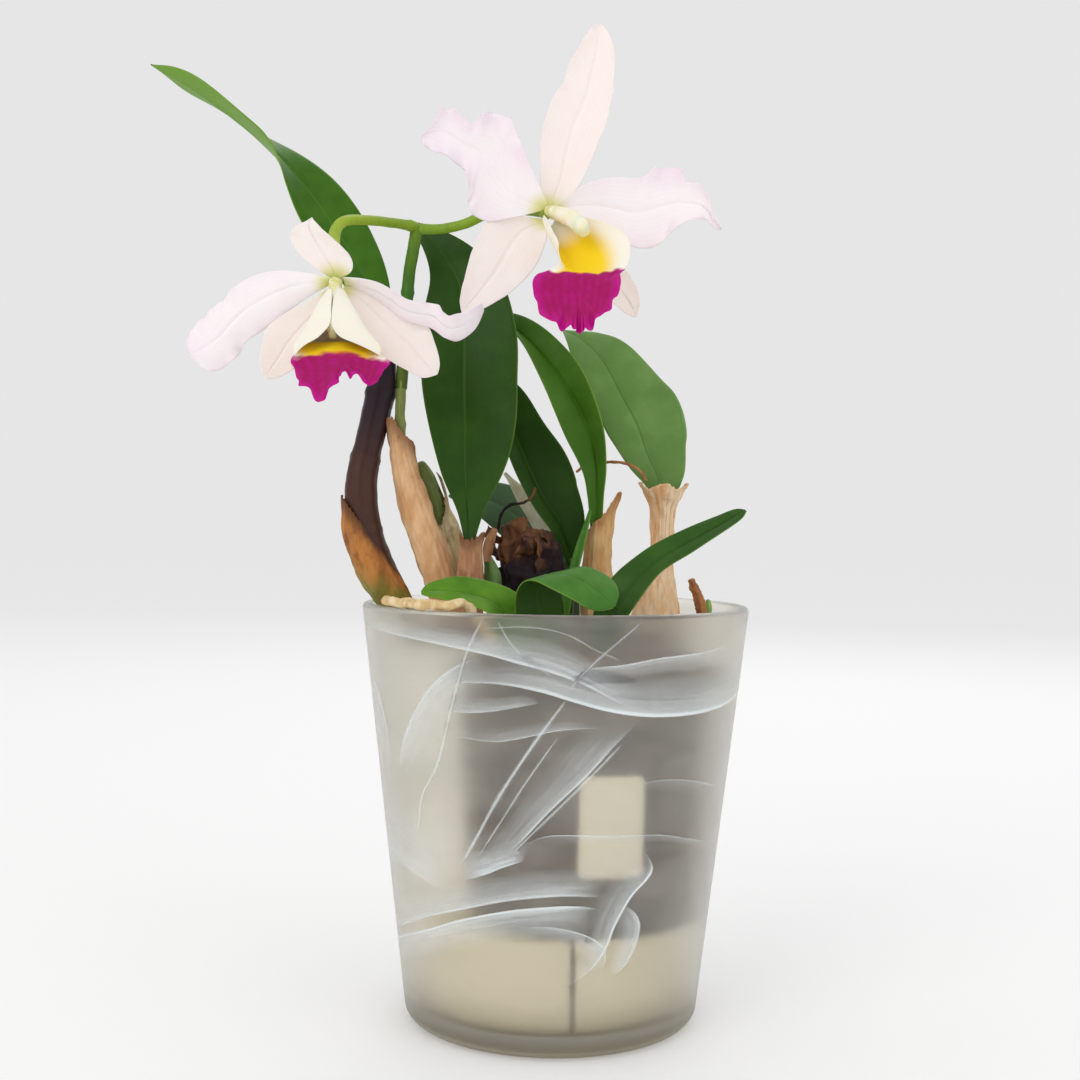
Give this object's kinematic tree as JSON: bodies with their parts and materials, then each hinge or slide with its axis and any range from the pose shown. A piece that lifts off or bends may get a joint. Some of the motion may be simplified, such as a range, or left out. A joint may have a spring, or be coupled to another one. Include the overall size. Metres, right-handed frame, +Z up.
{
  "type": "potted orchid",
  "caption": "Cattleya-type orchid with lilac-white flowers and magenta lips, creeping bulbs and leathery leaves, in a nursery pot inside a tapered frosted glass pot.",
  "frame": {"origin": "centre of the glass pot's flat underside", "axes": "+Z up through the pot's mouth, -Y towards the front that shows the flowers, +X to the right seen from the front"},
  "size_m": [0.2133, 0.14, 0.3562],
  "materials": {
    "frosted_glass": "frosted, with white wisps in the wall",
    "nursery_plastic": "matt grey brown",
    "label_card": "blank cream plant label",
    "riser_foam": "cream foam",
    "bark": "rough bark and brown rhizome skin",
    "dark_bulb": "waxy aubergine to brown skin",
    "orange_sheath": "dry orange-brown sheath, olive at its base",
    "green_bulb": "waxy green skin",
    "papery_sheath": "dry tan paper-like sheath",
    "dark_leaf": "leathery dark green",
    "fresh_leaf": "fresh mid green",
    "pale_leaf": "pale green with a clear midrib",
    "dead_wood": "crumpled dark brown",
    "flower_stalk": "waxy yellow-green",
    "petal": "white with a pink-lilac blush",
    "lip": "magenta edge, yellow throat and cream side lobes",
    "column": "waxy cream",
    "aerial_root": "cream root skin with an orange-brown tip"
  },
  "bodies": {
    "root": {"rhizome_front": "bark", "rhizome_back": "bark", "bulb_dark": "dark_bulb", "sheath_dark": "orange_sheath", "bulb_flowering": "green_bulb", "sheath_flowering": "papery_sheath", "bulb_green": "green_bulb", "sheath_green": "papery_sheath", "bulb_main": "green_bulb", "sheath_main": "papery_sheath", "sheath_curl": "papery_sheath", "bulb_centre": "green_bulb", "old_bulb": "dead_wood", "bulb_strap": "green_bulb", "bulb_arched": "green_bulb", "sheath_arched": "papery_sheath", "bulb_right": "green_bulb", "sheath_right": "papery_sheath", "dry_stub": "dead_wood", "shoot_tip": "fresh_leaf", "leaf_tall_left": "dark_leaf", "leaf_main": "dark_leaf", "leaf_arched": "dark_leaf", "leaf_strap": "dark_leaf", "leaf_light": "pale_leaf", "leaf_lance": "dark_leaf", "leaf_curled": "fresh_leaf", "leaf_low": "fresh_leaf", "leaf_back": "pale_leaf", "leaf_young": "fresh_leaf", "sheath_white": "papery_sheath", "flower_stalk": "flower_stalk", "flower_stem_left": "flower_stalk", "flower_stem_right": "flower_stalk", "left_flower_sepal_top": "petal", "left_flower_petal_left": "petal", "left_flower_petal_right": "petal", "left_flower_sepal_left": "petal", "left_flower_sepal_right": "petal", "left_flower_lip": "lip", "left_flower_column": "column", "right_flower_sepal_top": "petal", "right_flower_petal_left": "petal", "right_flower_petal_right": "petal", "right_flower_sepal_left": "petal", "right_flower_sepal_right": "petal", "right_flower_lip": "lip", "right_flower_column": "column", "tendril_left": "dead_wood", "tendril_right": "dead_wood", "glass_pot": "frosted_glass", "foam_riser_left": "riser_foam", "foam_riser_right": "riser_foam", "nursery_pot": "nursery_plastic", "plant_label": "label_card", "bark_mix": "bark", "aerial_root": "aerial_root"}
  },
  "joints": []
}
